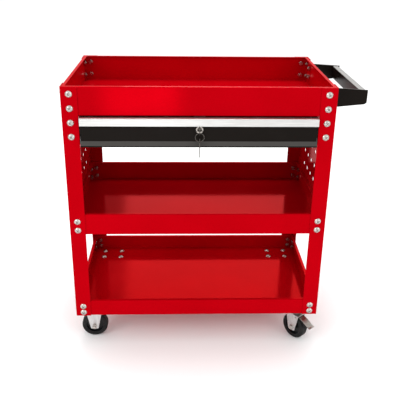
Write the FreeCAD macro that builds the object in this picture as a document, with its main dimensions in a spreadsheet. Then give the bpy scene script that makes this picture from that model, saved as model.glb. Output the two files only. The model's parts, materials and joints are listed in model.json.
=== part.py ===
import FreeCAD, Part
import Sketcher
import math
import os

# Three-tray tool cart: four angle legs, a lockable drawer, two perforated side panels, a push handle and
# four swivel casters. Millimetres, +Z up, front towards -Y, origin on the floor under the middle.

doc = FreeCAD.newDocument("ToolCart")
sheet = doc.addObject("Spreadsheet::Sheet", "Sizes")

driving = [
    # the whole cart
    ("cartWidth", 740, "over the faces of the legs"),
    ("cartDepth", 410, "over the faces of the legs"),
    ("legLength", 720, "length of each angle leg"),
    # legs and their bolts
    ("legFlange", 45, "width of each flange"),
    ("legGauge", 2, "leg sheet"),
    ("legBend", 3.5, "outside bend radius"),
    ("boltInset", 23, "bolt line from the leg's outer corner"),
    ("topBoltDrop", 20, "first bolt below the top of the leg"),
    ("topBoltPitch", 40, "between the four upper bolts"),
    ("middleBoltTop", 42, "above the underside of the middle tray"),
    ("middleBoltPitch", 28, "between the two middle bolts"),
    ("lowBoltTop", 33, "above the foot of the leg"),
    ("lowBoltPitch", 21, "between the two low bolts"),
    # trays
    ("trayGauge", 1.2, "tray and panel sheet"),
    ("trayLip", 10, "inward fold round each tray"),
    ("trayBend", 2.5, "outside bend radius"),
    ("topTrayDepth", 80, "outside height of the wall"),
    ("middleTrayDepth", 65, "outside height of the wall"),
    ("middleTrayFoot", 280, "underside above the foot of the leg"),
    ("bottomTrayDepth", 52, "outside height of the wall"),
    # perforated side panels
    ("panelHem", 12, "inward fold at top and bottom"),
    ("pegPitch", 46, "square grid of holes"),
    ("pegRadius", 6, "hole radius"),
    ("pegColumns", 8, "holes along the depth"),
    ("pegRows", 6, "holes up the height"),
    # drawer, rails and slides
    ("railClear", 1, "inner face of the rail inside the leg's edge"),
    ("railDrop", 8, "top of the rail below the top tray"),
    ("railHeight", 72, "height of the rail"),
    ("railBoltDrop", 12, "first bolt below the top of the rail"),
    ("railFlange", 40, "outward fold bolted to the legs"),
    ("slideWidth", 12.7, "rail to drawer"),
    ("slideHeight", 36, "height of the outer member"),
    ("slideLength", 350, "length of each member"),
    ("slideStart", 8, "front end from the leg's face"),
    ("slideDrop", 46, "centre below the top tray"),
    ("slideGauge", 1.2, "member sheet"),
    ("drawerDrop", 14, "top of the box below the top tray"),
    ("drawerDepth", 64, "outside height of the box"),
    ("drawerLength", 380, "front to back"),
    ("drawerGauge", 1, "box sheet"),
    ("drawerLip", 8, "inward fold round the box"),
    ("faceGap", 3.5, "drawer face to leg, each side"),
    ("faceStand", 4, "face in front of the legs"),
    ("faceDrop", 6, "top of the face below the top tray"),
    ("faceHeight", 78.5, "height of the face"),
    ("ledgeTop", 14.5, "start of the sloped ledge above the bottom of the face"),
    ("ledgeFoot", 3.5, "end of the sloped ledge above the bottom of the face"),
    ("ledgeReach", 8, "ledge in front of the face"),
    ("faceGauge", 1.2, "face sheet"),
    ("pullDrop", 3, "top of the pull below the top tray"),
    ("pullHeight", 21, "height of the pull's front wall"),
    ("pullReach", 11, "pull in front of the face"),
    ("pullWall", 2.2, "thickness of the pull's front wall"),
    # lock and keys
    ("lockDrop", 36, "axis below the top tray"),
    ("lockRadius", 8, "threaded barrel"),
    ("bezelRadius", 10, "front flange of the barrel"),
    ("bezelThick", 3, "front flange of the barrel"),
    ("plugRadius", 6, "turning plug"),
    ("plugPlay", 0.05, "running clearance"),
    ("barrelEnd", 24, "back of the barrel behind the legs' face"),
    ("camReach", 30, "from the axis to the tip"),
    ("camThick", 2, "cam sheet"),
    ("keyStand", 2, "shoulder of the key in front of the lock"),
    ("keyThick", 2.2, "both keys"),
    ("bladeWidth", 7, "key blade"),
    ("bladeLength", 33, "key blade"),
    ("bowRadius", 9.5, "key head"),
    ("eyeRadius", 2.6, "ends of the slot in the key head"),
    ("eyeSlot", 4, "half the distance between the slot's ends"),
    ("ringRadius", 12, "split ring, to the middle of the wire"),
    ("wireRadius", 1.1, "split ring wire"),
    ("hangGap", 0.5, "between the ring and the keys' eyes"),
    # push handle
    ("handleReach", 95, "out from the legs' face"),
    ("handleClear", 5, "end plate inside the edges of the legs"),
    ("handleGauge", 2, "end plate sheet"),
    ("handleDrop", 12, "end plate at the tray, below the top of the leg"),
    ("handleHeight", 56, "end plate at the tray"),
    ("handleBoltPitch", 28, "between the two bolts of an end plate"),
    ("gripDrop", 18, "end plate at its outer end, below the top of the leg"),
    ("gripHeight", 41, "end plate at its outer end"),
    ("gripWidth", 18, "bar, across"),
    ("gripSet", 4, "bar from the outer edge of the end plates"),
    ("gripWall", 1.5, "bar sheet"),
    ("gripBend", 3, "bar bend radius"),
    ("handleFlange", 26, "fold bolted to the tray"),
    # casters
    ("wheelRadius", 40, "over the tyre"),
    ("treadWidth", 26, "tyre"),
    ("tyreDepth", 9, "radial thickness of the tyre"),
    ("hubWidth", 29, "over the hub's ends"),
    ("axleRadius", 4, "axle bolt"),
    ("axlePlay", 0.06, "running clearance"),
    ("trail", 24, "axle behind the swivel axis"),
    ("casterInset", 72, "swivel axis from the side"),
    ("casterSetback", 50, "swivel axis from the front or back"),
    ("plateLong", 88, "top plate along the width"),
    ("plateWide", 64, "top plate along the depth"),
    ("plateThick", 3, "top plate"),
    ("plateBoltsLong", 60, "bolt spacing along the width"),
    ("plateBoltsWide", 40, "bolt spacing along the depth"),
    ("raceRadius", 24, "swivel race"),
    ("forkGauge", 2.5, "fork sheet"),
    ("forkGap", 1.2, "fork to the hub's end, each side"),
    ("crownGap", 9, "top of the tyre to the top of the fork's crown"),
    ("swivelHeight", 14, "top of the fork's crown to the bottom tray"),
    ("forkHeadWidth", 46, "leg of the fork at the crown"),
    ("forkFootWidth", 25, "leg of the fork below the axle"),
    ("forkTail", 10, "leg of the fork below the axle"),
    ("kingpinRadius", 5, "swivel rivet"),
    ("pinRadius", 2.4, "brake pedal pin"),
    ("shoeLift", 7, "raised brake shoe to the tyre"),
    ("ballRadius", 2.3, "swivel balls"),
    ("ballCircle", 16.5, "swivel balls"),
    ("ballGap", 0.3, "play above and below a ball"),
    ("frontLeftYaw", 180, "way each wheel trails at rest"),
    ("frontRightYaw", -50, "way each wheel trails at rest"),
    ("rearLeftYaw", 160, "way each wheel trails at rest"),
    ("rearRightYaw", 25, "way each wheel trails at rest"),
    # fasteners
    ("boltRadius", 4, "M8 thread"),
    ("boltPlay", 0.5, "hole clearance"),
    ("boltLength", 12, "under the head"),
    ("boltHeadRadius", 9.5, "domed head"),
    ("boltHeadHeight", 4.8, "domed head"),
    ("nutAcross", 13, "across the flats"),
    ("nutHeight", 6.5, "hexagon nut"),
]


def text_of(value):
    return value.text if isinstance(value, Size) else repr(float(value))


def number_of(value):
    return value.number if isinstance(value, Size) else float(value)


class Size:
    """A size that carries its number and the sheet expression that gives it."""

    def __init__(self, number, text):
        self.number, self.text = number, text

    def __add__(self, other):
        return Size(self.number + number_of(other), f"({self.text} + {text_of(other)})")

    __radd__ = __add__

    def __sub__(self, other):
        return Size(self.number - number_of(other), f"({self.text} - {text_of(other)})")

    def __rsub__(self, other):
        return Size(number_of(other) - self.number, f"({text_of(other)} - {self.text})")

    def __mul__(self, other):
        return Size(self.number * number_of(other), f"({self.text} * {text_of(other)})")

    __rmul__ = __mul__

    def __truediv__(self, other):
        return Size(self.number / number_of(other), f"({self.text} / {text_of(other)})")

    def __neg__(self):
        return Size(-self.number, f"(0 - {self.text})")

    def cos(self):
        return Size(math.cos(math.radians(self.number)), f"cos({self.text} * 1 deg)")

    def sin(self):
        return Size(math.sin(math.radians(self.number)), f"sin({self.text} * 1 deg)")


class Names:
    """The driving sizes by name, read back from the sheet."""


sizes = Names()
for row, (alias, value, note) in enumerate(driving, 1):
    sheet.set(f"A{row}", alias)
    sheet.set(f"B{row}", str(value))
    sheet.set(f"C{row}", note)
    sheet.setAlias(f"B{row}", alias)
doc.recompute()
for alias, value, note in driving:
    setattr(sizes, alias, Size(float(getattr(sheet, alias)), f"Sizes.{alias}"))
s = sizes

# places worked out from the driving sizes
half = s.cartWidth / 2
fork_top = s.wheelRadius * 2 + s.crownGap
foot = fork_top + s.swivelHeight
leg_top = foot + s.legLength
tray_half = half - s.legGauge
tray_front = s.legGauge + 0
tray_back = s.cartDepth - s.legGauge
stack = s.legGauge + s.trayGauge
top_tray_foot = leg_top - s.topTrayDepth
middle_tray_foot = foot + s.middleTrayFoot
middle_tray_top = middle_tray_foot + s.middleTrayDepth
rail_top = top_tray_foot - s.railDrop
rail_face = half - s.legFlange - s.railClear
drawer_half = rail_face - s.slideWidth
drawer_front_wall = s.faceStand + 0
face_half = half - s.legFlange - s.faceGap
face_top = top_tray_foot - s.faceDrop
face_foot = face_top - s.faceHeight
lock_axis = top_tray_foot - s.lockDrop
slide_axis = top_tray_foot - s.slideDrop
bolt_hole = s.boltRadius + s.boltPlay
tray_bolts = [leg_top - s.topBoltDrop - s.topBoltPitch * i for i in range(2)]
rail_bolts = [rail_top - s.railBoltDrop - s.topBoltPitch * i for i in range(2)]
upper_bolts = tray_bolts + rail_bolts
middle_bolts = [middle_tray_foot + s.middleBoltTop - s.middleBoltPitch * i for i in range(2)]
low_bolts = [foot + s.lowBoltTop - s.lowBoltPitch * i for i in range(2)]
key_shoulder = -s.faceStand - s.bezelThick - s.keyStand
key_reach = s.bowRadius * 2.2 - key_shoulder
# the origin is under the middle of everything, with the handle, the key and the bolt heads counted in
frame_x = (s.boltHeadHeight - s.handleReach) / 2
frame_y = (key_reach - s.boltHeadHeight - s.cartDepth) / 2

nodes = []
axis_sign = {"XY_Plane": 1, "XZ_Plane": -1, "YZ_Plane": 1}


# building blocks
def bind(thing, prop, value):
    if isinstance(value, Size):
        thing.setExpression(prop, value.text)
    else:
        thing.setExpression(prop, repr(float(value)))


def seat(thing, x=0.0, y=0.0, z=0.0, yaw=0.0):
    """Places a sub-part in the cart's frame, turned about Z by yaw degrees."""
    rotation = FreeCAD.Rotation(FreeCAD.Vector(0, 0, 1), number_of(yaw))
    thing.Placement = FreeCAD.Placement(FreeCAD.Vector(0, 0, 0), rotation)
    bind(thing, "Placement.Base.x", frame_x + x)
    bind(thing, "Placement.Base.y", frame_y + y)
    bind(thing, "Placement.Base.z", z)


def new_body(label, x=0.0, y=0.0, z=0.0, yaw=0.0):
    body = doc.addObject("PartDesign::Body", label)
    body.Label = label
    seat(body, x, y, z, yaw)
    nodes.append(body)
    return body


def sketch_on(body, plane="XY_Plane", offset=0.0):
    """An empty sketch on one of the body's own planes, moved offset along that plane's positive axis."""
    sketch = body.newObject("Sketcher::SketchObject", "outline")
    support = next(f for f in body.Origin.OriginFeatures if f.Role == plane)
    sketch.AttachmentSupport = [(support, "")]
    sketch.MapMode = "FlatFace"
    bind(sketch, "AttachmentOffset.Base.z", offset * axis_sign[plane])
    return sketch


def hold(sketch, kind, geometry, point, value, name):
    index = sketch.addConstraint(Sketcher.Constraint(kind, -1, 1, geometry, point, number_of(value)))
    sketch.renameConstraint(index, name)
    bind(sketch, f"Constraints.{name}", value)


def draw(sketch, points):
    """A closed outline. A corner is (u, v), or (u, v, r) where an arc of radius r arrives at it, turning
    left for a positive r and right for a negative one."""
    first = sketch.GeometryCount
    corners = [FreeCAD.Vector(number_of(p[0]), number_of(p[1]), 0) for p in points]
    count = len(points)
    ends = []
    for i in range(count):
        start, end, arriving = corners[i], corners[(i + 1) % count], points[(i + 1) % count]
        if len(arriving) == 2:
            sketch.addGeometry(Part.LineSegment(start, end), False)
            ends.append((1, 2))
            continue
        radius = number_of(arriving[2])
        chord = end - start
        side = FreeCAD.Vector(-chord.y, chord.x, 0).normalize()
        rise = math.sqrt(max(radius ** 2 - chord.Length ** 2 / 4, 0))
        centre = (start + end) / 2 + side * rise * math.copysign(1, radius)
        a, b = (start, end) if radius > 0 else (end, start)
        turn = [math.atan2(p.y - centre.y, p.x - centre.x) for p in (a, b)]
        circle = Part.Circle(centre, FreeCAD.Vector(0, 0, 1), abs(radius))
        sketch.addGeometry(Part.ArcOfCircle(circle, turn[0], turn[1]), False)
        ends.append((1, 2) if radius > 0 else (2, 1))
    for i in range(count):
        after = (i + 1) % count
        sketch.addConstraint(
            Sketcher.Constraint("Coincident", first + i, ends[i][1], first + after, ends[after][0])
        )
    for i, point in enumerate(points):
        hold(sketch, "DistanceX", first + i, ends[i][0], point[0], f"x{first + i}")
        hold(sketch, "DistanceY", first + i, ends[i][0], point[1], f"y{first + i}")
        if len(point) == 3:
            arc = first + (i - 1) % count
            radius = point[2] if number_of(point[2]) > 0 else -point[2]
            index = sketch.addConstraint(Sketcher.Constraint("Radius", arc, number_of(radius)))
            sketch.renameConstraint(index, f"r{arc}")
            bind(sketch, f"Constraints.r{arc}", radius)
    return sketch


def box_outline(sketch, u0, v0, u1, v1):
    return draw(sketch, [(u0, v0), (u1, v0), (u1, v1), (u0, v1)])


def circles(sketch, centres, radius):
    for u, v in centres:
        place = FreeCAD.Vector(number_of(u), number_of(v), 0)
        circle = Part.Circle(place, FreeCAD.Vector(0, 0, 1), number_of(radius))
        index = sketch.addGeometry(circle, False)
        hold(sketch, "DistanceX", index, 3, u, f"cx{index}")
        hold(sketch, "DistanceY", index, 3, v, f"cy{index}")
        size = sketch.addConstraint(Sketcher.Constraint("Radius", index, number_of(radius)))
        sketch.renameConstraint(size, f"cr{index}")
        bind(sketch, f"Constraints.cr{index}", radius)
    return sketch


def pad(body, sketch, length):
    """Grows the outline along its plane's positive axis."""
    feature = body.newObject("PartDesign::Pad", "pad")
    feature.Profile = sketch
    bind(feature, "Length", length)
    feature.Reversed = "XZ_Plane" in sketch.AttachmentSupport[0][0].Role
    return feature


def carve(body, sketch, length):
    """Cuts the outline for length along its plane's positive axis."""
    feature = body.newObject("PartDesign::Pocket", "pocket")
    feature.Profile = sketch
    bind(feature, "Length", length)
    feature.Reversed = "XZ_Plane" not in sketch.AttachmentSupport[0][0].Role
    return feature


def pierce(body, sketch):
    """Cuts the outline through everything, both ways."""
    feature = body.newObject("PartDesign::Pocket", "holes")
    feature.Profile = sketch
    feature.Type = "ThroughAll"
    feature.SideType = "Symmetric"
    return feature


def spin(body, sketch, axis):
    feature = body.newObject("PartDesign::Revolution", "turned")
    feature.Profile = sketch
    feature.ReferenceAxis = (sketch, [axis])
    feature.Angle = 360
    return feature


def soften(body, feature, radius, wanted):
    """Rounds the edges of the feature that wanted(centre, direction) picks."""
    doc.recompute()
    names = []
    for index, edge in enumerate(feature.Shape.Edges, 1):
        if not isinstance(edge.Curve, Part.Line):
            continue
        centre = edge.CenterOfMass - body.Placement.Base
        if wanted(centre, edge.tangentAt(edge.FirstParameter)):
            names.append(f"Edge{index}")
    fillet = body.newObject("PartDesign::Fillet", "bend")
    fillet.Base = (feature, names)
    bind(fillet, "Radius", radius)
    return fillet


def group(label, shapes):
    """Separate solids that share a node, in the cart's frame."""
    feature = doc.addObject("Part::Feature", label)
    feature.Label = label
    feature.Shape = Part.makeCompound(shapes)
    seat(feature)
    nodes.append(feature)
    return feature


def moved(shape, x, y, z, turn=None):
    """A copy of shape, turned first and then moved."""
    place = FreeCAD.Vector(number_of(x), number_of(y), number_of(z))
    copy = shape.copy()
    copy.Placement = FreeCAD.Placement(place, turn or FreeCAD.Rotation())
    return copy


# frame and trays
def leg(label, side, end):
    """An angle leg; side is -1 left or 1 right, end is 0 front or 1 back."""
    body = new_body(label)

    def corner(across, along, *arc):
        y = s.cartDepth - along if end else along
        flip = side * (1 if end else -1)
        return (side * (half - across), y) + tuple(r * flip for r in arc)

    profile = [
        corner(s.legBend, 0, s.legBend),
        corner(s.legFlange, 0),
        corner(s.legFlange, s.legGauge),
        corner(s.legGauge, s.legGauge),
        corner(s.legGauge, s.legFlange),
        corner(0, s.legFlange),
        corner(0, s.legBend),
    ]
    pad(body, draw(sketch_on(body, "XY_Plane", foot), profile), s.legLength)
    heights = upper_bolts + middle_bolts + low_bolts
    x = side * (half - s.boltInset)
    y = s.cartDepth - s.boltInset if end else s.boltInset
    pierce(body, circles(sketch_on(body, "XZ_Plane"), [(x, z) for z in heights], bolt_hole))
    pierce(body, circles(sketch_on(body, "YZ_Plane"), [(y, z) for z in heights], bolt_hole))


def pan(body, half_width, front, back, floor, depth, gauge, lip, bend):
    """A folded sheet pan with its rim turned inwards."""
    outside = box_outline(sketch_on(body, "XY_Plane", floor), -half_width, front, half_width, back)
    block = pad(body, outside, depth)
    levels = [number_of(floor), number_of(floor + depth)]

    def on_rim(centre, way):
        return abs(way.z) < 0.5 and min(abs(centre.z - level) for level in levels) < 0.01

    soften(body, block, bend, on_rim)
    inside = box_outline(
        sketch_on(body, "XY_Plane", floor + gauge),
        gauge - half_width,
        front + gauge,
        half_width - gauge,
        back - gauge,
    )
    carve(body, inside, depth - gauge * 2)
    mouth = box_outline(
        sketch_on(body, "XY_Plane", floor + depth / 2),
        lip - half_width,
        front + lip,
        half_width - lip,
        back - lip,
    )
    carve(body, mouth, depth)


def corner_holes(body, heights):
    """The bolt holes that a tray or panel shares with the legs."""
    x, y = half - s.boltInset, s.boltInset
    across = [(side * x, z) for side in (-1, 1) for z in heights]
    along = [(place, z) for place in (y, s.cartDepth - y) for z in heights]
    pierce(body, circles(sketch_on(body, "XZ_Plane"), across, bolt_hole))
    pierce(body, circles(sketch_on(body, "YZ_Plane"), along, bolt_hole))


def tray(label, floor, depth, heights):
    body = new_body(label)
    pan(body, tray_half, tray_front, tray_back, floor, depth, s.trayGauge, s.trayLip, s.trayBend)
    corner_holes(body, heights)
    return body


for end, end_name in enumerate(("front", "rear")):
    for side, side_name in ((-1, "left"), (1, "right")):
        leg(f"leg_{end_name}_{side_name}", side, end)

caster_spots = {
    "front_left": (-(half - s.casterInset), s.casterSetback + 0, s.frontLeftYaw),
    "front_right": (half - s.casterInset, s.casterSetback + 0, s.frontRightYaw),
    "rear_left": (-(half - s.casterInset), s.cartDepth - s.casterSetback, s.rearLeftYaw),
    "rear_right": (half - s.casterInset, s.cartDepth - s.casterSetback, s.rearRightYaw),
}
plate_corners = [(i * s.plateBoltsLong / 2, j * s.plateBoltsWide / 2) for i in (-1, 1) for j in (-1, 1)]
caster_bolts = [(x + dx, y + dy) for x, y, yaw in caster_spots.values() for dx, dy in plate_corners]

handle_inset = s.legFlange + s.handleClear
handle_bolt_y = handle_inset + s.handleFlange / 2
handle_top = leg_top - s.handleDrop
handle_foot = handle_top - s.handleHeight
grip_top = leg_top - s.gripDrop
grip_foot = grip_top - s.gripHeight
handle_middle = (handle_top + handle_foot) / 2
handle_bolt_heights = [handle_middle + way * s.handleBoltPitch / 2 for way in (-1, 1)]
handle_bolts = [(y, z) for y in (handle_bolt_y, s.cartDepth - handle_bolt_y) for z in handle_bolt_heights]

top_tray = tray("top_tray", top_tray_foot, s.topTrayDepth, tray_bolts)
handle_holes = circles(sketch_on(top_tray, "YZ_Plane", tray_half - s.trayGauge), handle_bolts, bolt_hole)
carve(top_tray, handle_holes, s.trayGauge)
tray("middle_tray", middle_tray_foot, s.middleTrayDepth, middle_bolts)
bottom_tray = tray("bottom_tray", foot, s.bottomTrayDepth, low_bolts)
carve(bottom_tray, circles(sketch_on(bottom_tray, "XY_Plane", foot), caster_bolts, bolt_hole), s.trayGauge)


def side_panel(label, side):
    """A hemmed sheet with a square grid of round holes."""
    body = new_body(label)
    outer, inner, tip = tray_half, tray_half - s.trayGauge, tray_half - s.panelHem
    low, high = middle_tray_top, top_tray_foot
    profile = [
        (side * outer, low),
        (side * outer, high),
        (side * tip, high),
        (side * tip, high - s.trayGauge),
        (side * inner, high - s.trayGauge),
        (side * inner, low + s.trayGauge),
        (side * tip, low + s.trayGauge),
        (side * tip, low),
    ]
    pad(body, draw(sketch_on(body, "XZ_Plane", tray_front), profile), tray_back - tray_front)
    bolts = [(y, z) for y in (s.boltInset, s.cartDepth - s.boltInset) for z in rail_bolts]
    pierce(body, circles(sketch_on(body, "YZ_Plane"), bolts, bolt_hole))
    columns, rows = int(s.pegColumns.number), int(s.pegRows.number)
    grid_length, grid_height = s.pegPitch * (s.pegColumns - 1), s.pegPitch * (s.pegRows - 1)
    first = ((s.cartDepth - grid_length) / 2, (low + high - grid_height) / 2)
    sketch = circles(sketch_on(body, "YZ_Plane"), [first], s.pegRadius)
    hole = pierce(body, sketch)
    doc.recompute()
    grid = body.newObject("PartDesign::LinearPattern", "grid")
    grid.Originals = [hole]
    grid.Direction = (sketch, ["H_Axis"])
    grid.Direction2 = (sketch, ["V_Axis"])
    grid.Occurrences, grid.Occurrences2 = columns, rows
    bind(grid, "Length", grid_length)
    bind(grid, "Length2", grid_height)
    body.Tip = grid


side_panel("side_panel_left", -1)
side_panel("side_panel_right", 1)


# drawer rails and telescopic slides
def rail(label, side):
    """A channel between the front and back legs that carries one slide."""
    body = new_body(label)
    web, skin, tip = rail_face, rail_face + s.trayGauge, rail_face + s.railFlange
    profile = [
        (side * web, tray_front),
        (side * tip, tray_front),
        (side * tip, tray_front + s.trayGauge),
        (side * skin, tray_front + s.trayGauge),
        (side * skin, tray_back - s.trayGauge),
        (side * tip, tray_back - s.trayGauge),
        (side * tip, tray_back),
        (side * web, tray_back),
    ]
    pad(body, draw(sketch_on(body, "XY_Plane", rail_top - s.railHeight), profile), s.railHeight)
    bolts = [(side * (half - s.boltInset), z) for z in rail_bolts]
    pierce(body, circles(sketch_on(body, "XZ_Plane"), bolts, bolt_hole))


def channel(label, web, tip, reach):
    """A slide member: a web with two short flanges; web and tip are its faces across the cart."""
    body = new_body(label)
    skin = s.slideGauge if number_of(tip) > number_of(web) else -s.slideGauge
    profile = [
        (web, slide_axis - reach),
        (tip, slide_axis - reach),
        (tip, slide_axis - reach + s.slideGauge),
        (web + skin, slide_axis - reach + s.slideGauge),
        (web + skin, slide_axis + reach - s.slideGauge),
        (tip, slide_axis + reach - s.slideGauge),
        (tip, slide_axis + reach),
        (web, slide_axis + reach),
    ]
    pad(body, draw(sketch_on(body, "XZ_Plane", s.slideStart), profile), s.slideLength)


slide_tip = rail_face - s.slideWidth * 0.75
middle_reach = s.slideHeight / 2 - 6.5
inner_reach = middle_reach - 5.8
middle_web = rail_face - s.slideGauge - 0.8
for side, side_name in ((-1, "left"), (1, "right")):
    rail(f"drawer_rail_{side_name}", side)
    channel(f"slide_outer_{side_name}", side * rail_face, side * slide_tip, s.slideHeight / 2)
    channel(f"slide_middle_{side_name}", side * middle_web, side * slide_tip, middle_reach)
    channel(f"slide_inner_{side_name}", side * drawer_half, side * (drawer_half + 7.2), inner_reach)

# the outer tracks carry balls at the back of the middle member and the inner tracks at its front, so each
# row stays between its two members over the whole travel
ball_x = (slide_tip + middle_web - s.slideGauge) / 2
outer_ball = (s.slideHeight / 2 - s.slideGauge - middle_reach) / 2 - s.ballGap
inner_ball = (middle_reach - s.slideGauge - inner_reach) / 2 - s.ballGap
outer_rise = (s.slideHeight / 2 - s.slideGauge + middle_reach) / 2
inner_rise = (middle_reach - s.slideGauge + inner_reach) / 2
balls = []
for side in (-1, 1):
    for up in (-1, 1):
        for i in range(6):
            for size, rise, place in (
                (outer_ball, outer_rise, s.slideStart + s.slideLength * 0.6 + i * 22),
                (inner_ball, inner_rise, s.slideStart + s.slideLength * 0.05 + i * 22),
            ):
                ball = Part.makeSphere(number_of(size))
                balls.append(moved(ball, side * ball_x, place, slide_axis + up * rise))
group("slide_balls", balls)

# drawer
drawer_box = new_body("drawer_box")
drawer_back = drawer_front_wall + s.drawerLength
drawer_floor = top_tray_foot - s.drawerDrop - s.drawerDepth
pan(
    drawer_box,
    drawer_half,
    drawer_front_wall,
    drawer_back,
    drawer_floor,
    s.drawerDepth,
    s.drawerGauge,
    s.drawerLip,
    s.trayBend,
)
barrel_hole = s.lockRadius + 0.2
lock_spot = [(0.0, lock_axis)]
box_hole = circles(sketch_on(drawer_box, "XZ_Plane", 0.0), lock_spot, barrel_hole)
carve(drawer_box, box_hole, drawer_front_wall * 2)

drawer_front = new_body("drawer_front")
face, ledge, g = -s.faceStand, -(s.faceStand + s.ledgeReach), s.faceGauge
top, low = face_top, face_foot
outside = [
    (drawer_front_wall, low),
    (ledge, low),
    (ledge, low + s.ledgeFoot),
    (face, low + s.ledgeTop),
    (face, top),
    (drawer_front_wall, top),
]
inside = [
    (drawer_front_wall, top - g),
    (face + g, top - g),
    (face + g, low + s.ledgeTop - g / 2),
    (ledge + g, low + s.ledgeFoot - g / 2),
    (ledge + g, low + g),
    (drawer_front_wall, low + g),
]
shell = draw(sketch_on(drawer_front, "YZ_Plane", -face_half), outside + inside)
pad(drawer_front, shell, face_half * 2)
for edge in (-face_half, face_half - g):
    pad(drawer_front, draw(sketch_on(drawer_front, "YZ_Plane", edge), outside), g)
pierce(drawer_front, circles(sketch_on(drawer_front, "XZ_Plane"), lock_spot, barrel_hole))

# the pull is an extrusion hooked over the top of the face, with room for fingers behind its front wall
drawer_pull = new_body("drawer_pull")
lip, crown = face - s.pullReach, top_tray_foot - s.pullDrop
nose = s.pullWall + 0.8
hook = [
    (drawer_front_wall, top),
    (drawer_front_wall, crown),
    (lip + nose, crown),
    (lip, crown - nose, nose),
    (lip, crown - s.pullHeight),
    (lip + s.pullWall, crown - s.pullHeight),
    (lip + s.pullWall, top),
]
pad(drawer_pull, draw(sketch_on(drawer_pull, "YZ_Plane", -face_half), hook), face_half * 2)

# lock, catch and keys
bezel_face = face - s.bezelThick
housing = new_body("lock_housing")
barrel = circles(sketch_on(housing, "XZ_Plane", face), lock_spot, s.lockRadius)
pad(housing, barrel, s.barrelEnd - face)
bezel = circles(sketch_on(housing, "XZ_Plane", bezel_face), lock_spot, s.bezelRadius)
pad(housing, bezel, s.bezelThick)
pierce(housing, circles(sketch_on(housing, "XZ_Plane"), lock_spot, s.plugRadius + s.plugPlay))

nut_face = drawer_front_wall + s.drawerGauge
lock_nut = new_body("lock_nut")
pad(lock_nut, circles(sketch_on(lock_nut, "XZ_Plane", nut_face), lock_spot, s.lockRadius + 4), 4.0)
pierce(lock_nut, circles(sketch_on(lock_nut, "XZ_Plane"), lock_spot, barrel_hole))

cam_face = s.barrelEnd + 1.5
tail = s.plugRadius / 2
plug = new_body("lock_plug")
plug_face = bezel_face - 0.6
core = circles(sketch_on(plug, "XZ_Plane", plug_face), lock_spot, s.plugRadius)
pad(plug, core, cam_face - plug_face)
stub = box_outline(sketch_on(plug, "XZ_Plane", cam_face), -tail, lock_axis - tail, tail, lock_axis + tail)
pad(plug, stub, s.camThick + 1.2)
slot_half, slot_rise = s.keyThick / 2 + 0.3, s.bladeWidth / 2 + 0.3
keyway_face = plug_face - 0.4
keyway = box_outline(
    sketch_on(plug, "XZ_Plane", keyway_face),
    -slot_half,
    lock_axis - slot_rise,
    slot_half,
    lock_axis + slot_rise,
)
carve(plug, keyway, key_shoulder + s.bladeLength + 0.4 - keyway_face)

cam = new_body("lock_cam")
arm = s.camReach - s.plugRadius
r = s.plugRadius
cam_outline = [
    (0.0, lock_axis - r, r),
    (arm, lock_axis - r),
    (s.camReach, lock_axis, r),
    (arm, lock_axis + r, r),
    (0.0, lock_axis + r),
    (-r, lock_axis, r),
]
pad(cam, draw(sketch_on(cam, "XZ_Plane", cam_face), cam_outline), s.camThick)
eye = tail + 0.15
pierce(cam, box_outline(sketch_on(cam, "XZ_Plane"), -eye, lock_axis - eye, eye, lock_axis + eye))

# the catch hangs under the top tray in front of the raised cam
catch = new_body("lock_catch")
catch_front, catch_half = s.barrelEnd - 3.5, 16.0
hanging = lock_axis + s.camReach - 5
catch_profile = [
    (catch_front, hanging),
    (catch_front, top_tray_foot),
    (catch_front + 16, top_tray_foot),
    (catch_front + 16, top_tray_foot - 1.5),
    (catch_front + 1.5, top_tray_foot - 1.5),
    (catch_front + 1.5, hanging),
]
pad(catch, draw(sketch_on(catch, "YZ_Plane", -catch_half), catch_profile), catch_half * 2)


def key(label, shoulder_y, shoulder_z, hanging):
    """A flat key in the YZ plane: its blade points back into the lock, or down when it hangs."""
    body = new_body(label)

    def at(forward, sideways, *arc):
        if hanging:
            return (shoulder_y + sideways, shoulder_z + forward) + arc
        return (shoulder_y - forward, shoulder_z + sideways) + arc

    bow, blade, tip = s.bowRadius, s.bladeWidth / 2, -s.bladeLength
    head = [
        at(0.0, -bow),
        at(bow * 1.2, -bow),
        at(bow * 2.2, 0.0, -bow),
        at(bow * 1.2, bow, -bow),
        at(0.0, bow),
    ]
    stem = [
        at(tip, 1.4 - blade),
        at(tip + 2.5, -blade),
        at(0.0, -blade),
        at(0.0, blade),
        at(tip + 2.5, blade),
        at(tip, blade - 1.4),
    ]
    for outline in (head, stem):
        pad(body, draw(sketch_on(body, "YZ_Plane", -s.keyThick / 2), outline), s.keyThick)
    eye, low, high = bow * 1.2, -s.eyeSlot, s.eyeSlot + 0
    r = s.eyeRadius
    slot = [
        at(eye - r, low),
        at(eye, low - r, -r),
        at(eye + r, low, -r),
        at(eye + r, high),
        at(eye, high + r, -r),
        at(eye - r, high, -r),
    ]
    pierce(body, draw(sketch_on(body, "YZ_Plane"), slot))


key("key", key_shoulder, lock_axis, False)
eye_y = key_shoulder - s.bowRadius * 1.2
hang = s.eyeRadius - s.wireRadius - s.hangGap
ring_z = lock_axis - s.eyeSlot - hang - s.ringRadius
ring = doc.addObject("Part::Torus", "key_ring")
ring.Label = "key_ring"
bind(ring, "Radius1", s.ringRadius)
bind(ring, "Radius2", s.wireRadius)
seat(ring, 0.0, eye_y, ring_z)
upright_ring = FreeCAD.Rotation(FreeCAD.Vector(1, 0, 0), 90)
ring.Placement = FreeCAD.Placement(ring.Placement.Base, upright_ring)
nodes.append(ring)
spare_eye = ring_z - s.ringRadius - hang
key("spare_key", eye_y, spare_eye - s.bowRadius * 1.2, True)


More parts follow.
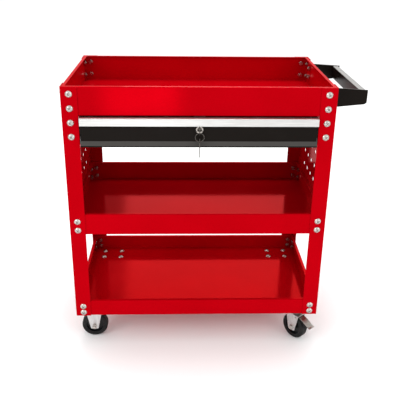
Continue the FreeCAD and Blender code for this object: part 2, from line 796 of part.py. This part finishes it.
# push handle
def handle_plate(label, end):
    """A tapering end plate with a fold that is bolted to the tray's side."""
    body = new_body(label)
    g, outer = s.handleGauge, half + s.handleReach
    start = s.cartDepth - handle_inset - g if end else handle_inset
    wall = tray_half
    shape = [
        (wall, handle_foot),
        (outer - 6, grip_foot),
        (outer, grip_foot + 5),
        (outer, grip_top),
        (wall, handle_top),
    ]
    pad(body, draw(sketch_on(body, "XZ_Plane", start), shape), g)
    fold = start + g - s.handleFlange if end else start
    flange = box_outline(
        sketch_on(body, "XY_Plane", handle_foot), wall, fold, wall + g, fold + s.handleFlange
    )
    pad(body, flange, s.handleHeight)
    bolts = [spot for i, spot in enumerate(handle_bolts) if (i >= 2) == bool(end)]
    pierce(body, circles(sketch_on(body, "YZ_Plane"), bolts, bolt_hole))


handle_plate("handle_bracket_front", 0)
handle_plate("handle_bracket_rear", 1)
bar = new_body("handle_bar")
bar_out = half + s.handleReach - s.gripSet
bar_in = bar_out - s.gripWidth
bar_low, bar_high = grip_foot + 1, grip_top - 1
bar_start = handle_inset + s.handleGauge
bar_length = s.cartDepth - bar_start * 2
bar_skin = box_outline(sketch_on(bar, "XZ_Plane", bar_start), bar_in, bar_low, bar_out, bar_high)
soften(bar, pad(bar, bar_skin, bar_length), s.gripBend, lambda centre, way: abs(way.y) > 0.9)
w = s.gripWall
bar_core = box_outline(
    sketch_on(bar, "XZ_Plane", bar_start), bar_in + w, bar_low + w, bar_out - w, bar_high - w
)
carve(bar, bar_core, bar_length)


# casters
fork_inside = s.hubWidth / 2 + s.forkGap
fork_outside = fork_inside + s.forkGauge
crown_low = fork_top - s.forkGauge - 0.5
race_low = fork_top + (s.ballRadius + s.ballGap) * 2
plate_low = foot - s.plateThick
pin_x, pin_z = s.trail + 14, crown_low - 3.2


def top_plate(label, x, y):
    """The bolted plate with the upper race and the swivel rivet."""
    body = new_body(label, x, y)
    long, wide = s.plateLong / 2, s.plateWide / 2
    outline = box_outline(sketch_on(body, "XY_Plane", plate_low), -long, -wide, long, wide)
    plate = pad(body, outline, s.plateThick)
    soften(body, plate, 6.0, lambda c, d: abs(d.z) > 0.9)
    race = [
        (0.0, plate_low),
        (0.0, crown_low - 2.7),
        (s.kingpinRadius + 3, crown_low - 2.7),
        (s.kingpinRadius + 3, crown_low - 0.3),
        (s.kingpinRadius, crown_low - 0.3),
        (s.kingpinRadius, race_low),
        (s.ballCircle + s.ballRadius + 1.2, race_low),
        (s.ballCircle + s.ballRadius + 1.2, fork_top + 1.2),
        (s.raceRadius - 1.5, fork_top + 1.2),
        (s.raceRadius, race_low),
        (s.raceRadius - 2, plate_low),
    ]
    spin(body, draw(sketch_on(body, "XZ_Plane"), race), "V_Axis")
    pierce(body, circles(sketch_on(body, "XY_Plane"), plate_corners, bolt_hole))


def fork(label, x, y, yaw, braked):
    """The swivelling crown with its two legs; the axle lies s.trail along the body's own X."""
    body = new_body(label, x, y, 0.0, yaw)
    head, tail_width = s.forkHeadWidth / 2, s.forkFootWidth / 2
    axle = s.wheelRadius
    crown = circles(sketch_on(body, "XY_Plane", crown_low), [(0.0, 0.0)], s.raceRadius)
    pad(body, crown, fork_top - crown_low)
    bridge = box_outline(
        sketch_on(body, "XY_Plane", crown_low), 0.0, -fork_outside, s.trail + head, fork_outside
    )
    pad(body, bridge, fork_top - crown_low)
    cheek = [
        (s.trail - head, fork_top),
        (s.trail - head, crown_low),
        (s.trail - tail_width, axle - s.forkTail + 4),
        (s.trail - tail_width + 4, axle - s.forkTail, 4.0),
        (s.trail + tail_width - 4, axle - s.forkTail),
        (s.trail + tail_width, axle - s.forkTail + 4, 4.0),
        (s.trail + head, crown_low),
        (s.trail + head, fork_top),
    ]
    for start in (-fork_outside, fork_inside):
        pad(body, draw(sketch_on(body, "XZ_Plane", start), cheek), s.forkGauge)
    pierce(body, circles(sketch_on(body, "XZ_Plane"), [(s.trail, axle)], s.axleRadius + 0.1))
    bore = circles(sketch_on(body, "XY_Plane", crown_low - 1), [(0.0, 0.0)], s.kingpinRadius + s.axlePlay)
    carve(body, bore, s.forkGauge + 3)
    if braked:
        pin_hole = circles(sketch_on(body, "XZ_Plane"), [(pin_x, pin_z)], s.pinRadius + s.axlePlay)
        pierce(body, pin_hole)


def rolling(label, x, y, yaw, profile):
    """A turned piece on the axle; its profile is (radius, along the axle)."""
    body = new_body(label, x + s.trail * yaw.cos(), y + s.trail * yaw.sin(), s.wheelRadius, yaw)
    spin(body, draw(sketch_on(body, "XY_Plane"), profile), "V_Axis")


def wheel_profiles():
    rim = s.wheelRadius - s.tyreDepth
    bore = s.axleRadius + s.axlePlay
    boss, tread = s.hubWidth / 2, s.treadWidth / 2
    hub_radius, web = 11.0, 5.0
    hub = [
        (bore, -boss),
        (hub_radius, -boss),
        (hub_radius + 1.5, -web),
        (rim - 5, -web),
        (rim - 4, -tread + 1),
        (rim, -tread + 1),
        (rim, tread - 1),
        (rim - 4, tread - 1),
        (rim - 5, web),
        (hub_radius + 1.5, web),
        (hub_radius, boss),
        (bore, boss),
    ]
    shoulder = 5.0
    tyre = [
        (rim, -tread),
        (s.wheelRadius - shoulder, -tread),
        (s.wheelRadius, -tread + shoulder, shoulder),
        (s.wheelRadius, tread - shoulder),
        (s.wheelRadius - shoulder, tread, shoulder),
        (rim, tread),
    ]
    return hub, tyre


hub_profile, tyre_profile = wheel_profiles()


def hexagon(across, height):
    reach = number_of(across) / math.sqrt(3)
    turns = [math.radians(60 * i) for i in range(7)]
    corners = [FreeCAD.Vector(reach * math.cos(turn), reach * math.sin(turn), 0) for turn in turns]
    return Part.Face(Part.makePolygon(corners)).extrude(FreeCAD.Vector(0, 0, number_of(height)))


def nut_shape():
    """A hexagon nut standing on the XY plane, its top corners turned down."""
    blank = hexagon(s.nutAcross, s.nutHeight)
    height, reach = number_of(s.nutHeight), number_of(s.nutAcross) / math.sqrt(3)
    turned = Part.makeCone(reach + height * 1.6, reach - 0.7, height)
    bore = Part.makeCylinder(number_of(s.boltRadius) + 0.02, height * 3, FreeCAD.Vector(0, 0, -height))
    return blank.common(turned).cut(bore)


def bolt_shape():
    """A domed cross-head bolt: the head above the XY plane, the shank below it."""
    rise, reach = number_of(s.boltHeadHeight), number_of(s.boltHeadRadius)
    dome_radius = (rise * rise + reach * reach) / (2 * rise)
    dome = Part.makeSphere(dome_radius, FreeCAD.Vector(0, 0, rise - dome_radius))
    head = dome.common(Part.makeCylinder(reach - 0.3, rise))
    for turn in (0, 90):
        slot = Part.makeBox(9.0, 1.7, 2.4, FreeCAD.Vector(-4.5, -0.85, rise - 1.9))
        slot.rotate(FreeCAD.Vector(0, 0, 0), FreeCAD.Vector(0, 0, 1), turn + 45)
        head = head.cut(slot)
    length = number_of(s.boltLength)
    shank = Part.makeCylinder(number_of(s.boltRadius), length + 0.5, FreeCAD.Vector(0, 0, -length))
    return head.fuse(shank).removeSplitter()


def axle_shapes(x, y, yaw):
    """A hexagon-head axle bolt through the fork and its nut, along the fork's own Y."""
    length = number_of(fork_outside * 2 + s.nutHeight + 2)
    head = hexagon(s.nutAcross, s.nutHeight * 0.8)
    shank = Part.makeCylinder(number_of(s.axleRadius), length, FreeCAD.Vector(0, 0, -length))
    bolt = head.fuse(shank).removeSplitter()
    lying = FreeCAD.Rotation(FreeCAD.Vector(0, 0, 1), yaw.number).multiply(
        FreeCAD.Rotation(FreeCAD.Vector(1, 0, 0), 90)
    )
    centre = FreeCAD.Vector(number_of(x + s.trail * yaw.cos()), number_of(y + s.trail * yaw.sin()), 0)
    centre.z = s.wheelRadius.number
    out = lying.multVec(FreeCAD.Vector(0, 0, fork_outside.number))
    turned = lying.multiply(FreeCAD.Rotation(FreeCAD.Vector(1, 0, 0), 180))
    near, far = centre + out, centre - out
    return [moved(bolt, near.x, near.y, near.z, lying), moved(nut_shape(), far.x, far.y, far.z, turned)]


def brake(name, x, y, yaw):
    """A foot pedal on a pin through the fork, and the shoe under it that is pressed on the tyre."""
    pedal = new_body(f"brake_pedal_{name}", x, y, 0.0, yaw)
    pin_half = fork_outside + 0.8
    pin = circles(sketch_on(pedal, "XZ_Plane", -pin_half), [(pin_x, pin_z)], s.pinRadius)
    pad(pedal, pin, pin_half * 2)
    blade = [
        (pin_x, pin_z + s.pinRadius - 0.2),
        (pin_x, pin_z),
        (pin_x + 20, pin_z - 6),
        (pin_x + 46, pin_z - 20),
        (pin_x + 52, pin_z - 19.5),
        (pin_x + 52, pin_z - 17),
        (pin_x + 46, pin_z - 17.5),
        (pin_x + 21, pin_z - 3.5),
    ]
    pad(pedal, draw(sketch_on(pedal, "XZ_Plane", -11.0), blade), 22.0)
    shoe = new_body(f"brake_shoe_{name}", x, y, 0.0, yaw)
    reach = s.wheelRadius + s.shoeLift
    high, low = math.radians(42), math.radians(20)
    shoe_outline = [
        (s.trail + reach * math.cos(high), s.wheelRadius + reach * math.sin(high)),
        (s.trail + reach * math.cos(low), s.wheelRadius + reach * math.sin(low), -reach),
        (pin_x + 38, s.wheelRadius + reach * math.sin(low) + 1),
        (pin_x + 39.5, pin_z - 16.5),
        (pin_x + 22, pin_z - 6 - 14 / 13),
    ]
    pad(shoe, draw(sketch_on(shoe, "XZ_Plane", -10.0), shoe_outline), 20.0)


swivel_balls = []
for name, (x, y, yaw) in caster_spots.items():
    top_plate(f"caster_plate_{name}", x, y)
    fork(f"caster_fork_{name}", x, y, yaw, "right" in name)
    rolling(f"caster_wheel_{name}", x, y, yaw, hub_profile)
    rolling(f"caster_tyre_{name}", x, y, yaw, tyre_profile)
    group(f"caster_axle_{name}", axle_shapes(x, y, yaw))
    if "right" in name:
        brake(name, x, y, yaw)
    for i in range(14):
        turn = 2 * math.pi * i / 14
        place = (x + s.ballCircle * math.cos(turn), y + s.ballCircle * math.sin(turn))
        height = fork_top + s.ballGap + s.ballRadius
        swivel_balls.append(moved(Part.makeSphere(number_of(s.ballRadius)), place[0], place[1], height))
group("swivel_balls", swivel_balls)

# bolts and nuts
# each spot is the seat of a head, the way the head faces, and the thickness that the bolt clamps
spots = []
for z in upper_bolts + middle_bolts + low_bolts:
    for side in (-1, 1):
        x = side * (half - s.boltInset)
        spots += [((x, 0.0, z), (0, -1, 0), stack), ((x, s.cartDepth + 0, z), (0, 1, 0), stack)]
        for y in (s.boltInset, s.cartDepth - s.boltInset):
            spots.append(((side * half, y, z), (side, 0, 0), stack))
for y, z in handle_bolts:
    spots.append(((tray_half + s.handleGauge, y, z), (1, 0, 0), s.handleGauge + s.trayGauge))
for x, y in caster_bolts:
    spots.append(((x, y, foot + s.trayGauge), (0, 0, 1), s.trayGauge + s.plateThick))

bolt, nut = bolt_shape(), nut_shape()
bolts, nuts = [], []
for (x, y, z), way, clamped in spots:
    out = FreeCAD.Vector(*way)
    turn = FreeCAD.Rotation(FreeCAD.Vector(0, 0, 1), out)
    back = FreeCAD.Rotation(FreeCAD.Vector(0, 0, 1), -out)
    bolts.append(moved(bolt, x, y, z, turn))
    grip = clamped.number
    nuts.append(moved(nut, x - out.x * grip, y - out.y * grip, z - out.z * grip, back))
group("frame_bolts", bolts)
group("frame_nuts", nuts)

# check and write
doc.recompute()
for thing in doc.Objects:
    if {"Invalid", "Error"} & set(thing.State):
        raise RuntimeError(f"{thing.Label} failed: {thing.State}")
labels = [node.Label for node in nodes]
if len(set(labels)) != len(labels):
    raise RuntimeError("two sub-parts share a label")
for node in nodes:
    if node.Shape.isNull() or not node.Shape.isValid() or not node.Shape.Solids:
        raise RuntimeError(f"{node.Label} has no valid solid")

os.makedirs("parts", exist_ok=True)
for node in nodes:
    node.Shape.exportStep(f"parts/{node.Label}.step")
print(len(nodes), "sub-parts written")
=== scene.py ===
import json
import math

import bmesh
import bpy
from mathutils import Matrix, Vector

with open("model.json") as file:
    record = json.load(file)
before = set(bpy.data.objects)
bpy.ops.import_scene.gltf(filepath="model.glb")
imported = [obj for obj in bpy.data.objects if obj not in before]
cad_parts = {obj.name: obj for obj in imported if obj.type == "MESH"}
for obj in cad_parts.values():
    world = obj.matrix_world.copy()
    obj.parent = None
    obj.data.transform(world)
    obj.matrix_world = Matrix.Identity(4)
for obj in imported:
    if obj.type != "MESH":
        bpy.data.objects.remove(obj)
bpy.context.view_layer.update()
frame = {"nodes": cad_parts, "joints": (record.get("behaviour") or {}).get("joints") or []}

nodes = frame["nodes"]
print("cart loaded:", len(nodes), "nodes")


# a socket that can be used in sums like a number
class Wire:
    def __init__(self, finish, socket):
        self.finish, self.socket = finish, socket

    def maths(self, operation, *values):
        return self.finish.node("Math", {"operation": operation}, dict(enumerate(values)))

    def __add__(self, other): return self.maths("ADD", self, other)
    def __radd__(self, other): return self.maths("ADD", other, self)
    def __sub__(self, other): return self.maths("SUBTRACT", self, other)
    def __rsub__(self, other): return self.maths("SUBTRACT", other, self)
    def __mul__(self, other): return self.maths("MULTIPLY", self, other)
    def __rmul__(self, other): return self.maths("MULTIPLY", other, self)
    def __truediv__(self, other): return self.maths("DIVIDE", self, other)
    def __rtruediv__(self, other): return self.maths("DIVIDE", other, self)
    def absolute(self): return self.maths("ABSOLUTE", self)
    def pingPong(self, reach): return self.maths("PINGPONG", self, reach)


# one material and its nodes
class Finish:
    def __init__(self, name, **fixed):
        self.material = bpy.data.materials.new(name)
        self.material.use_nodes = True
        self.tree = self.material.node_tree
        self.shader = self.tree.nodes["Principled BSDF"]
        for label, value in fixed.items():
            self.shader.inputs[label.replace("_", " ")].default_value = value
        self.places = self.node("TexCoord", pick="Object")

    def node(self, kind, settings=None, values=None, pick=0):
        made = self.tree.nodes.new("ShaderNode" + kind)
        for key, value in (settings or {}).items():
            setattr(made, key, value)
        for key, value in (values or {}).items():
            self.feed(made.inputs[key], value)
        return Wire(self, made.outputs[pick])

    def feed(self, socket, value):
        if isinstance(value, Wire):
            self.tree.links.new(value.socket, socket)
        else:
            socket.default_value = value

    def set(self, **wires):
        for label, wire in wires.items():
            self.feed(self.shader.inputs[label.replace("_", " ")], wire)

    # a noise is its scale, detail, stretch and roughness
    def noise(self, scale, detail, stretch=(1, 1, 1), rough=0.5):
        spread = self.node("VectorMath", {"operation": "MULTIPLY"}, {0: self.places, 1: stretch})
        values = {"Vector": spread, "Scale": scale, "Detail": detail, "Roughness": rough}
        return self.node("TexNoise", values=values)

    # 0 up to the first place of the range and 1 from the second
    def step(self, wire, low, high):
        return self.node("MapRange", {"interpolation_type": "SMOOTHSTEP"}, {0: wire, 1: low, 2: high})

    def mix(self, share, a, b):
        return self.node("Mix", {"data_type": "RGBA"}, {0: share, 6: a, 7: b}, pick=2)

    def dot(self, a, b):
        return self.node("VectorMath", {"operation": "DOT_PRODUCT"}, {0: a, 1: b}, pick="Value")

    def rounded(self, radius):          # soft edges on folded sheet, seen in the shading only
        return self.node("Bevel", {"samples": sheet["bevelSamples"]}, {"Radius": radius})

    def edges(self, radius):            # 1 along sharp edges, 0 on flats
        flat = self.node("NewGeometry", pick="Normal")
        return self.step(self.dot(self.rounded(radius), flat), *sheet["edgeRange"])

    def facingUp(self):                 # 1 where a face looks at the ceiling or slopes towards it
        normal = self.node("NewGeometry", pick="Normal")
        return self.step(self.dot(normal, (0, 0, 1)), *sheet["upRange"])

    def bump(self, height, strength, distance, radius):
        values = {"Strength": strength, "Distance": distance, "Height": height}
        values["Normal"] = self.rounded(radius)
        self.set(Normal=self.node("Bump", values=values))


# how every finish tells edges and upward faces
sheet = {"bevelSamples": 4, "edgeRange": (0.97, 0.80), "upRange": (0.35, 0.75)}


# powder coat on the legs, trays and side panels
coat = {
    "red": (0.44, 0.0001, 0.004, 1), "deepRed": (0.41, 0.0001, 0.0035, 1),
    # lighter red along sharp edges: edge wear with a painted highlight
    "wornAndLitEdgeRed": (0.66, 0.012, 0.022, 1), "wornAndLitEdgeShare": 0.55, "edge": 0.0011,
    "cloud": (6, 3), "cloudRange": (0.35, 0.65),
    # upward faces lighter in patches: dust with painted light from above
    "dustAndTopLightRed": (0.46, 0.012, 0.014, 1), "dustShare": 0.12, "dust": (17, 5), "dustRange": (0.45, 0.8),
    "ior": 1.5, "specular": 0.008, "metal": 0.17, "tint": (1.0, 0.06, 0.14, 1),
    "rough": 0.09, "cloudRough": 0.07, "scuffRough": 0.10,
    "scuff": (55, 6, (0.35, 1, 1), 0.7), "scuffRange": (0.58, 0.80),
    "peel": (420, 2), "peelStrength": 0.22, "peelHeight": 0.00012,
}


def redCoat():
    f = Finish("redPowderCoat", IOR=coat["ior"], Specular_IOR_Level=coat["specular"],
               Specular_Tint=coat["tint"], Metallic=coat["metal"])
    cloud = f.noise(*coat["cloud"])
    scuff = f.step(f.noise(*coat["scuff"]), *coat["scuffRange"])
    dust = f.step(f.noise(*coat["dust"]), *coat["dustRange"])
    body = f.mix(f.step(cloud, *coat["cloudRange"]), coat["deepRed"], coat["red"])
    # upward faces lighten in patches: dust with painted light from above
    dustedAndTopLit = f.mix(f.facingUp() * dust * coat["dustShare"], body, coat["dustAndTopLightRed"])
    # sharp edges lighten: edge wear with a painted edge highlight
    f.set(Base_Color=f.mix(f.edges(coat["edge"]) * coat["wornAndLitEdgeShare"], dustedAndTopLit, coat["wornAndLitEdgeRed"]))
    f.set(Roughness=coat["rough"] + cloud * coat["cloudRough"] + scuff * coat["scuffRough"])
    f.bump(f.noise(*coat["peel"]), coat["peelStrength"], coat["peelHeight"], coat["edge"])
    return f.material


# black coat on the drawer, its rails and the push handle
dark = {
    # the lighter tone goes on sharp edges as wear with a painted highlight, and in random patches as wear
    "black": (0.0062, 0.0042, 0.0030, 1), "wornAndEdgeLit": (0.035, 0.030, 0.025, 1),
    "wornAndLitEdgeShare": 0.5, "edge": 0.0009, "cloud": (9, 4), "wornShare": 0.10, "wornRange": (0.5, 0.9),
    # grey on upward faces: dust with painted light from above
    "dust": (0.12, 0.115, 0.108, 1), "dustAndLightOnTop": 0.7, "dustAndLightInBox": 0.12, "cloudOnTop": 0.2,
    # light grey on the handle's upward faces: a painted highlight
    "paintedHighlightTop": (0.22, 0.215, 0.205, 1), "paintedHighlightShare": 0.75,
    "ior": 1.5, "specular": 0.07, "rough": 0.34, "handleRough": 0.24,
    "cloudRough": 0.08, "roughRange": (0.3, 0.7),
    "grain": (900, 3), "grainStrength": 0.35, "grainHeight": 0.0001,
}


def darkCoat(name, rough=dark["rough"], onTop=dark["dustAndLightOnTop"], top=dark["dust"]):
    f = Finish(name, IOR=dark["ior"], Specular_IOR_Level=dark["specular"])
    cloud = f.noise(*dark["cloud"])
    # sharp edges lighten: wear with a painted edge highlight; random cloud patches are wear
    rubbedAndEdgeLit = f.edges(dark["edge"]) * dark["wornAndLitEdgeShare"] + f.step(cloud, *dark["wornRange"]) * dark["wornShare"]
    wornAndEdgeLit = f.mix(rubbedAndEdgeLit, dark["black"], dark["wornAndEdgeLit"])
    # upward faces lighten: dust with painted light from above; on the handle a painted highlight
    f.set(Base_Color=f.mix(f.facingUp() * (onTop + cloud * dark["cloudOnTop"]), wornAndEdgeLit, top))
    f.set(Roughness=rough + f.step(cloud, *dark["roughRange"]) * dark["cloudRough"])
    f.bump(f.noise(*dark["grain"]), dark["grainStrength"], dark["grainHeight"], dark["edge"])
    return f.material


# plated steel and nickel, each with its dark tone, light tone, roughness and spangle scale
plating = {
    "zinc": ((0.40, 0.40, 0.39, 1), (0.54, 0.54, 0.525, 1), 0.30, 240),
    "ball": ((0.26, 0.235, 0.21, 1), (0.42, 0.39, 0.36, 1), 0.08, 240),
    "pedal": ((0.26, 0.235, 0.21, 1), (0.42, 0.39, 0.36, 1), 0.30, 240),
    "bezel": ((0.26, 0.235, 0.21, 1), (0.42, 0.39, 0.36, 1), 0.18, 400),
    "plug": ((0.045, 0.040, 0.035, 1), (0.13, 0.12, 0.11, 1), 0.18, 400),
    "key": ((0.045, 0.040, 0.035, 1), (0.13, 0.12, 0.11, 1), 0.24, 600),
    "bolt": ((0.44, 0.41, 0.38, 1), (0.60, 0.57, 0.535, 1), 0.24, 300),
    "axle": ((0.44, 0.41, 0.38, 1), (0.60, 0.57, 0.535, 1), 0.22, 240),
    "spangleShare": 0.5, "spangleRough": 0.06, "cloud": (35, 4), "cloudShare": 0.5,
    "scuff": (90, 6, (1, 1, 4), 0.7), "scuffRange": (0.55, 0.8), "scuffRough": 0.14, "scuffDepth": 0.3,
    # dark tone for hollows found by ambient occlusion: painted shade in recesses
    "recessShade": (0.05, 0.042, 0.036, 1), "hollow": 0.0025, "hollowSamples": 6, "hollowRange": (0.35, 0.95),
    "strength": 0.2, "height": 0.0001, "edge": 0.0006,
}


def plated(name, kind):
    low, high, rough, scale = plating[kind]
    f = Finish(name, Metallic=1.0)
    spangle = f.node("TexVoronoi", {"feature": "F1"}, {"Vector": f.places, "Scale": scale}, pick="Color")
    patch = f.node("SeparateColor", values={0: spangle})
    cloud = f.noise(*plating["cloud"])
    scuff = f.step(f.noise(*plating["scuff"]), *plating["scuffRange"])
    opened = f.node("AmbientOcclusion", {"samples": plating["hollowSamples"]},
                    {"Distance": plating["hollow"]}, pick="AO")
    bare = f.mix(patch * plating["spangleShare"] + cloud * plating["cloudShare"], low, high)
    # hollows darken by ambient occlusion: painted shade in recesses
    f.set(Base_Color=f.mix(f.step(opened, *plating["hollowRange"]), plating["recessShade"], bare))
    f.set(Roughness=rough + patch * plating["spangleRough"] + scuff * plating["scuffRough"])
    height = cloud + scuff * plating["scuffDepth"]
    f.bump(height, plating["strength"], plating["height"], plating["edge"])
    return f.material


# brushed metal: the pull is brushed along its length, the forks upwards
brush = {
    "pull": ((0.56, 0.555, 0.54, 1), (0.70, 0.695, 0.68, 1), 0.30, (0.02, 1, 1)),
    "fork": ((0.50, 0.50, 0.50, 1), (0.74, 0.74, 0.73, 1), 0.26, (1, 1, 0.04)),
    "line": (900, 4), "lineRough": 0.6, "lineRange": (0.3, 0.7), "band": (100, 3),
    "strokeRough": 0.12, "bandRough": 0.08, "strength": 0.3, "height": 0.00006, "edge": 0.0006,
}


def brushed(name, kind):
    low, high, rough, stretch = brush[kind]
    f = Finish(name, Metallic=1.0)
    strokes = f.noise(*brush["line"], stretch, brush["lineRough"])
    bands = f.noise(*brush["band"], stretch)
    f.set(Base_Color=f.mix(f.step(strokes, *brush["lineRange"]), low, high))
    f.set(Roughness=rough + strokes * brush["strokeRough"] + bands * brush["bandRough"])
    f.bump(strokes, brush["strength"], brush["height"], brush["edge"])
    return f.material


# tyres: grooves run round the tread, dust lies between them
rubber = {
    "black": (0.0055, 0.0055, 0.0055, 1), "dusty": (0.040, 0.038, 0.036, 1), "ior": 1.52, "specular": 0.2,
    "groove": 0.0032, "grooveReach": 0.5, "grooveRange": (0.06, 0.16),
    "halfWidth": 0.013, "treadRange": (0.62, 0.60),
    "dust": (60, 6, (1, 1, 1), 0.7), "dustRange": (0.45, 0.75), "dustShare": 0.55,
    "rough": 0.62, "dustRough": 0.15,
    "speck": (700, 3), "speckDepth": 0.12, "strength": 0.5, "height": 0.0006, "edge": 0.0008,
}


def tyreRubber(centre, along):
    f = Finish("tyreRubber", IOR=rubber["ior"], Specular_IOR_Level=rubber["specular"])
    offset = f.node("VectorMath", {"operation": "SUBTRACT"}, {0: f.places, 1: centre})
    across = f.dot(offset, along)
    groove = f.step((across / rubber["groove"]).pingPong(rubber["grooveReach"]), *rubber["grooveRange"])
    tread = f.step(across.absolute(), *(rubber["halfWidth"] * share for share in rubber["treadRange"]))
    dust = f.step(f.noise(*rubber["dust"]), *rubber["dustRange"])
    lines = 1 - tread * (1 - groove)
    f.set(Base_Color=f.mix(dust * rubber["dustShare"] * lines, rubber["black"], rubber["dusty"]))
    f.set(Roughness=rubber["rough"] + dust * rubber["dustRough"])
    height = lines + f.noise(*rubber["speck"]) * rubber["speckDepth"]
    f.bump(height, rubber["strength"], rubber["height"], rubber["edge"])
    return f.material


# moulded plastic of the hubs and the brake shoes
moulded = {
    "black": (0.0055, 0.0055, 0.006, 1), "scuffedAndEdgeLit": (0.03, 0.03, 0.03, 1), "ior": 1.46, "specular": 0.3,
    "scuff": (120, 6, (1, 1, 1), 0.7), "scuffRange": (0.55, 0.8), "scuffShare": 0.5, "wornAndLitEdgeShare": 0.4,
    "rough": 0.28, "shoeRough": 0.5, "scuffRough": 0.25,
    "grain": (1100, 2), "strength": 0.25, "height": 0.00008, "edge": 0.0006,
}


def blackPlastic(name, rough):
    f = Finish(name, IOR=moulded["ior"], Specular_IOR_Level=moulded["specular"])
    scuff = f.step(f.noise(*moulded["scuff"]), *moulded["scuffRange"])
    # sharp edges lighten: wear with a painted edge highlight; random scuffs are wear
    pale = scuff * moulded["scuffShare"] + f.edges(moulded["edge"]) * moulded["wornAndLitEdgeShare"]
    f.set(Base_Color=f.mix(pale, moulded["black"], moulded["scuffedAndEdgeLit"]))
    f.set(Roughness=rough + scuff * moulded["scuffRough"])
    f.bump(f.noise(*moulded["grain"]), moulded["strength"], moulded["height"], moulded["edge"])
    return f.material


# give every CAD node its finish
def paint(material, *names):
    for name in names:
        slots = nodes[name].data.materials
        slots.clear()
        slots.append(material)
        for face in nodes[name].data.polygons:
            face.material_index = 0


def named(*starts):
    return [name for name in sorted(nodes) if name.startswith(starts)]


paint(redCoat(), *named("leg_", "top_tray", "middle_tray", "bottom_tray", "side_panel"))
paint(darkCoat("railCoat"), *named("drawer_rail"))
# inside the drawer box the upward faces get less dust and painted light
paint(darkCoat("drawerBoxCoat", onTop=dark["dustAndLightInBox"]), "drawer_box")
paint(darkCoat("drawerFaceCoat"), "drawer_front")
# the handle's upward faces get a painted highlight in place of dust
paint(darkCoat("handleCoat", dark["handleRough"], dark["paintedHighlightShare"], dark["paintedHighlightTop"]), *named("handle_"))
paint(brushed("pullAluminium", "pull"), "drawer_pull")
slides = named("slide_outer", "slide_middle", "slide_inner")
paint(plated("slideZinc", "zinc"), *slides, "lock_nut", "lock_cam", "lock_catch")
paint(plated("polishedBall", "ball"), "slide_balls", "swivel_balls")
paint(plated("lockNickel", "bezel"), "lock_housing")
paint(plated("plugNickel", "plug"), "lock_plug")
paint(plated("keyNickel", "key"), "key", "spare_key", "key_ring")
paint(plated("boltZinc", "bolt"), "frame_bolts", "frame_nuts")
paint(plated("plateZinc", "zinc"), *named("caster_plate"))
paint(plated("pedalZinc", "pedal"), *named("brake_pedal"))
paint(brushed("forkSteel", "fork"), *named("caster_fork"))
paint(plated("axleZinc", "axle"), *named("caster_axle"))
paint(blackPlastic("hubPlastic", moulded["rough"]), *named("caster_wheel"))
paint(blackPlastic("shoePlastic", moulded["shoeRough"]), *named("brake_shoe"))
spins = {joint["name"]: joint for joint in frame["joints"]}
for corner in ("front_left", "front_right", "rear_left", "rear_right"):
    spin = spins["roll_" + corner]
    paint(tyreRubber(spin["pos_m"], spin["axis"]), "caster_tyre_" + corner)
print("finishes on", len(bpy.data.materials), "materials")

# pale floor, soft lamps and an even white room
studio = {
    "floorSize": 40, "floorDrop": 0.0005, "floorGreys": (0.94, 0.96), "cloud": (2, 2),
    "floorRough": 0.85, "floorIor": 1.3, "sky": (1.0, 1.0, 1.0, 1), "skyStrength": 1.07,
    "lamps": [
        # name, place, aim, width, height, watts
        ("ceiling", (-0.1, 0.3, 3.2), (0, 0, 0.4), 1.7, 1.1, 44),
        ("leftSoft", (-2.4, -1.9, 2.0), (0, 0, 0.45), 1.2, 1.6, 22),
        ("rightSoft", (2.3, -2.2, 1.8), (0, 0, 0.45), 1.0, 1.4, 12),
        ("frontWindow", (-0.36, -2.4, 0.17), (-0.2, 0, 0.75), 0.5, 0.28, 1.8),
        ("backRim", (0.4, 2.6, 1.9), (0, 0, 0.6), 2.0, 0.7, 14),
    ],
}


def studioFloor():
    mesh = bpy.data.meshes.new("studioFloor")
    work = bmesh.new()
    bmesh.ops.create_grid(work, x_segments=2, y_segments=2, size=studio["floorSize"] / 2)
    work.to_mesh(mesh)
    work.free()
    floor = bpy.data.objects.new("studioFloor", mesh)
    floor.location.z = -studio["floorDrop"]
    bpy.context.scene.collection.objects.link(floor)
    f = Finish("studioPaper", IOR=studio["floorIor"], Roughness=studio["floorRough"])
    greys = [(level, level, level, 1) for level in studio["floorGreys"]]
    f.set(Base_Color=f.mix(f.noise(*studio["cloud"]), *greys))
    mesh.materials.append(f.material)


def lamp(name, place, aim, width, height, watts):
    data = bpy.data.lights.new(name, "AREA")
    data.shape, data.size, data.size_y, data.energy = "RECTANGLE", width, height, watts
    made = bpy.data.objects.new(name, data)
    made.location = place
    made.visible_camera = False
    made.rotation_euler = (Vector(aim) - Vector(place)).to_track_quat("-Z", "Y").to_euler()
    bpy.context.scene.collection.objects.link(made)


studioFloor()
for setup in studio["lamps"]:
    lamp(*setup)
world = bpy.data.worlds.new("paleRoom")
world.use_nodes = True
sky = world.node_tree.nodes["Background"].inputs
sky["Color"].default_value, sky["Strength"].default_value = studio["sky"], studio["skyStrength"]
bpy.context.scene.world = world
bpy.context.scene.view_settings.view_transform = "Standard"

# camera, its turn in degrees
viewpoint = {
    "place": (-0.0938, -1.6734, 1.2081), "turn": (69.043, -0.727, -1.679),
    "lens": 51.9, "sensor": 36, "shift": -0.12,
}
cameraData = bpy.data.cameras.new("viewpoint")
cameraData.lens, cameraData.sensor_width = viewpoint["lens"], viewpoint["sensor"]
cameraData.shift_y = viewpoint["shift"]
camera = bpy.data.objects.new("viewpoint", cameraData)
camera.location = viewpoint["place"]
camera.rotation_euler = [math.radians(angle) for angle in viewpoint["turn"]]
bpy.context.scene.collection.objects.link(camera)
bpy.context.scene.camera = camera
print("studio and camera ready")
